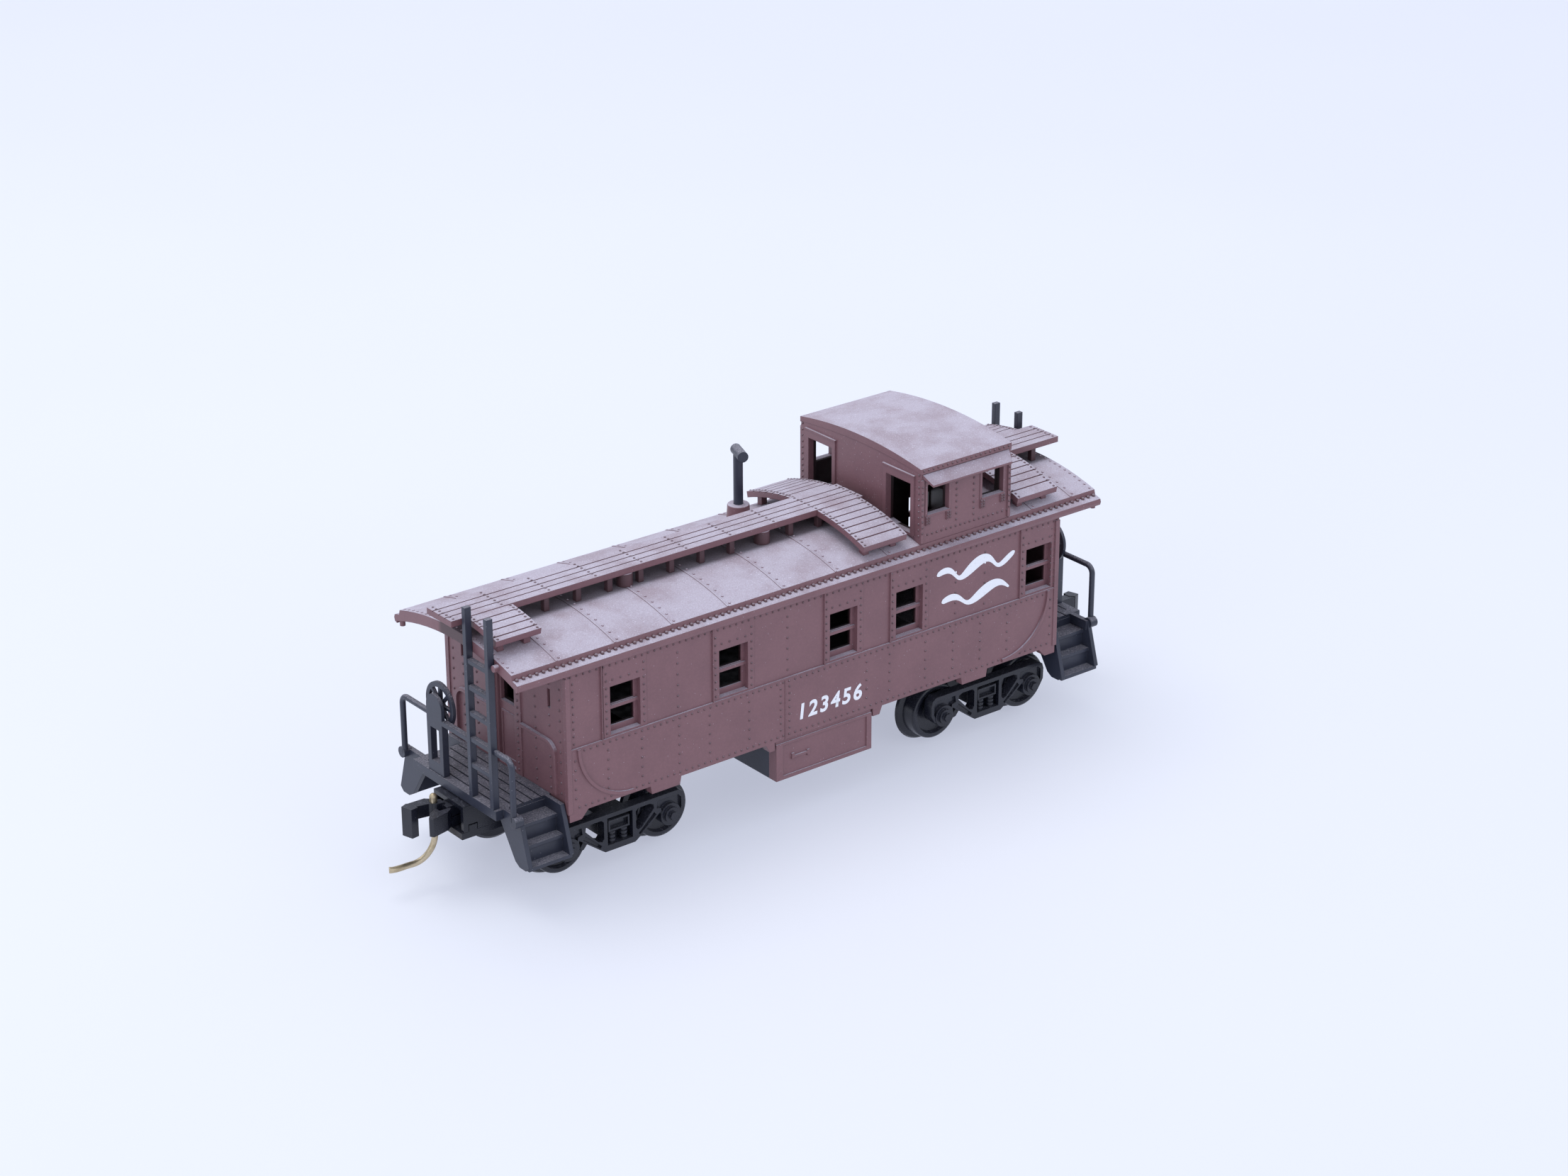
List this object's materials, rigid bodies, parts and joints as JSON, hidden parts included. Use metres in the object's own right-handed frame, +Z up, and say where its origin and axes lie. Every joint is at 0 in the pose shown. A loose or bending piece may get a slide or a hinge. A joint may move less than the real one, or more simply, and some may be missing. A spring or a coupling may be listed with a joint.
{
  "type": "model caboose",
  "caption": "Four-axle model railway caboose with raised lookout, roof walks, open end platforms, swivelling trucks and magnetic couplers.",
  "frame": {"origin": "middle of the car on the plane that touches the bottoms of the wheel flanges", "axes": "+X along the car toward the raised lookout's end, +Y across the car, +Z up"},
  "size_m": [0.0776, 0.0194, 0.0292],
  "materials": {
    "brown_plastic": "matt moulded plastic, dusty on top",
    "black_plastic": "matt moulded plastic, dusty on top",
    "truck_plastic": "slightly glossy engineering plastic",
    "trip_pin_brass": "dull drawn wire",
    "spring_bronze": "fine drawn wire",
    "weight_steel": "blackened stamped steel"
  },
  "bodies": {
    "body": {"body_shell": "brown_plastic", "brake_side_rail_a": "black_plastic", "brake_side_rail_b": "black_plastic", "brake_stand_a": "black_plastic", "brake_stand_b": "black_plastic", "brake_wheel_a": "black_plastic", "brake_wheel_b": "black_plastic", "cross_bar_a": "black_plastic", "cross_bar_b": "black_plastic", "cross_walk_front_left": "brown_plastic", "cross_walk_front_right": "brown_plastic", "cross_walk_rear_left": "brown_plastic", "cross_walk_rear_right": "brown_plastic", "cupola_awning_left": "brown_plastic", "cupola_awning_right": "brown_plastic", "cupola_roof": "brown_plastic", "cupola_walls": "brown_plastic", "kingpin_a": "truck_plastic", "kingpin_b": "truck_plastic", "ladder_a": "black_plastic", "ladder_b": "black_plastic", "ladder_side_rail_a": "black_plastic", "ladder_side_rail_b": "black_plastic", "ladder_walk_a": "brown_plastic", "ladder_walk_b": "brown_plastic", "main_roof": "brown_plastic", "platform_a": "black_plastic", "platform_b": "black_plastic", "roof_vent_front": "brown_plastic", "roof_vent_rear": "brown_plastic", "running_board_long": "brown_plastic", "running_board_short": "brown_plastic", "smokejack": "black_plastic", "smokejack_base": "brown_plastic", "steel_weight": "weight_steel", "tool_box": "black_plastic", "tool_box_door_left": "brown_plastic", "tool_box_door_right": "brown_plastic", "underframe": "black_plastic"},
    "truck_a": {"truck_frame_a": "truck_plastic", "draft_box_lid_a": "truck_plastic", "coupler_spring_a": "spring_bronze"},
    "outer_wheels_a": {"wheelset_a_outer": "truck_plastic"},
    "inner_wheels_a": {"wheelset_a_inner": "truck_plastic"},
    "coupler_a": {"coupler_lower_a": "truck_plastic"},
    "jaw_a": {"coupler_upper_a": "truck_plastic", "trip_pin_a": "trip_pin_brass"},
    "truck_b": {"truck_frame_b": "truck_plastic", "draft_box_lid_b": "truck_plastic", "coupler_spring_b": "spring_bronze"},
    "outer_wheels_b": {"wheelset_b_outer": "truck_plastic"},
    "inner_wheels_b": {"wheelset_b_inner": "truck_plastic"},
    "coupler_b": {"coupler_lower_b": "truck_plastic"},
    "jaw_b": {"coupler_upper_b": "truck_plastic", "trip_pin_b": "trip_pin_brass"}
  },
  "joints": [
    {"name": "truck_swivel_a", "type": "hinge", "parent": "body", "child": "truck_a", "pos_m": [-0.02057, 0, 0.0062], "axis": [0, 0, 1], "range_deg": [-8, 8]},
    {"name": "outer_wheels_spin_a", "type": "hinge", "parent": "truck_a", "child": "outer_wheels_a", "pos_m": [-0.02581, 0, 0.00324], "axis": [0, 1, 0], "continuous": true},
    {"name": "inner_wheels_spin_a", "type": "hinge", "parent": "truck_a", "child": "inner_wheels_a", "pos_m": [-0.01533, 0, 0.00324], "axis": [0, 1, 0], "continuous": true},
    {"name": "coupler_swing_a", "type": "hinge", "parent": "truck_a", "child": "coupler_a", "pos_m": [-0.03017, 0, 0.00615], "axis": [0, 0, 1], "range_deg": [-8, 8], "stiffness_Nm_per_rad": 0.0005},
    {"name": "jaw_open_a", "type": "hinge", "parent": "coupler_a", "child": "jaw_a", "pos_m": [-0.03017, 0, 0.00615], "axis": [0, 0, 1], "range_deg": [-8, 0], "stiffness_Nm_per_rad": 0.0005},
    {"name": "truck_swivel_b", "type": "hinge", "parent": "body", "child": "truck_b", "pos_m": [0.02057, 0, 0.0062], "axis": [0, 0, 1], "range_deg": [-8, 8]},
    {"name": "outer_wheels_spin_b", "type": "hinge", "parent": "truck_b", "child": "outer_wheels_b", "pos_m": [0.02581, 0, 0.00324], "axis": [0, 1, 0], "continuous": true},
    {"name": "inner_wheels_spin_b", "type": "hinge", "parent": "truck_b", "child": "inner_wheels_b", "pos_m": [0.01533, 0, 0.00324], "axis": [0, 1, 0], "continuous": true},
    {"name": "coupler_swing_b", "type": "hinge", "parent": "truck_b", "child": "coupler_b", "pos_m": [0.03017, 0, 0.00615], "axis": [0, 0, 1], "range_deg": [-8, 8], "stiffness_Nm_per_rad": 0.0005},
    {"name": "jaw_open_b", "type": "hinge", "parent": "coupler_b", "child": "jaw_b", "pos_m": [0.03017, 0, 0.00615], "axis": [0, 0, 1], "range_deg": [-8, 0], "stiffness_Nm_per_rad": 0.0005}
  ]
}
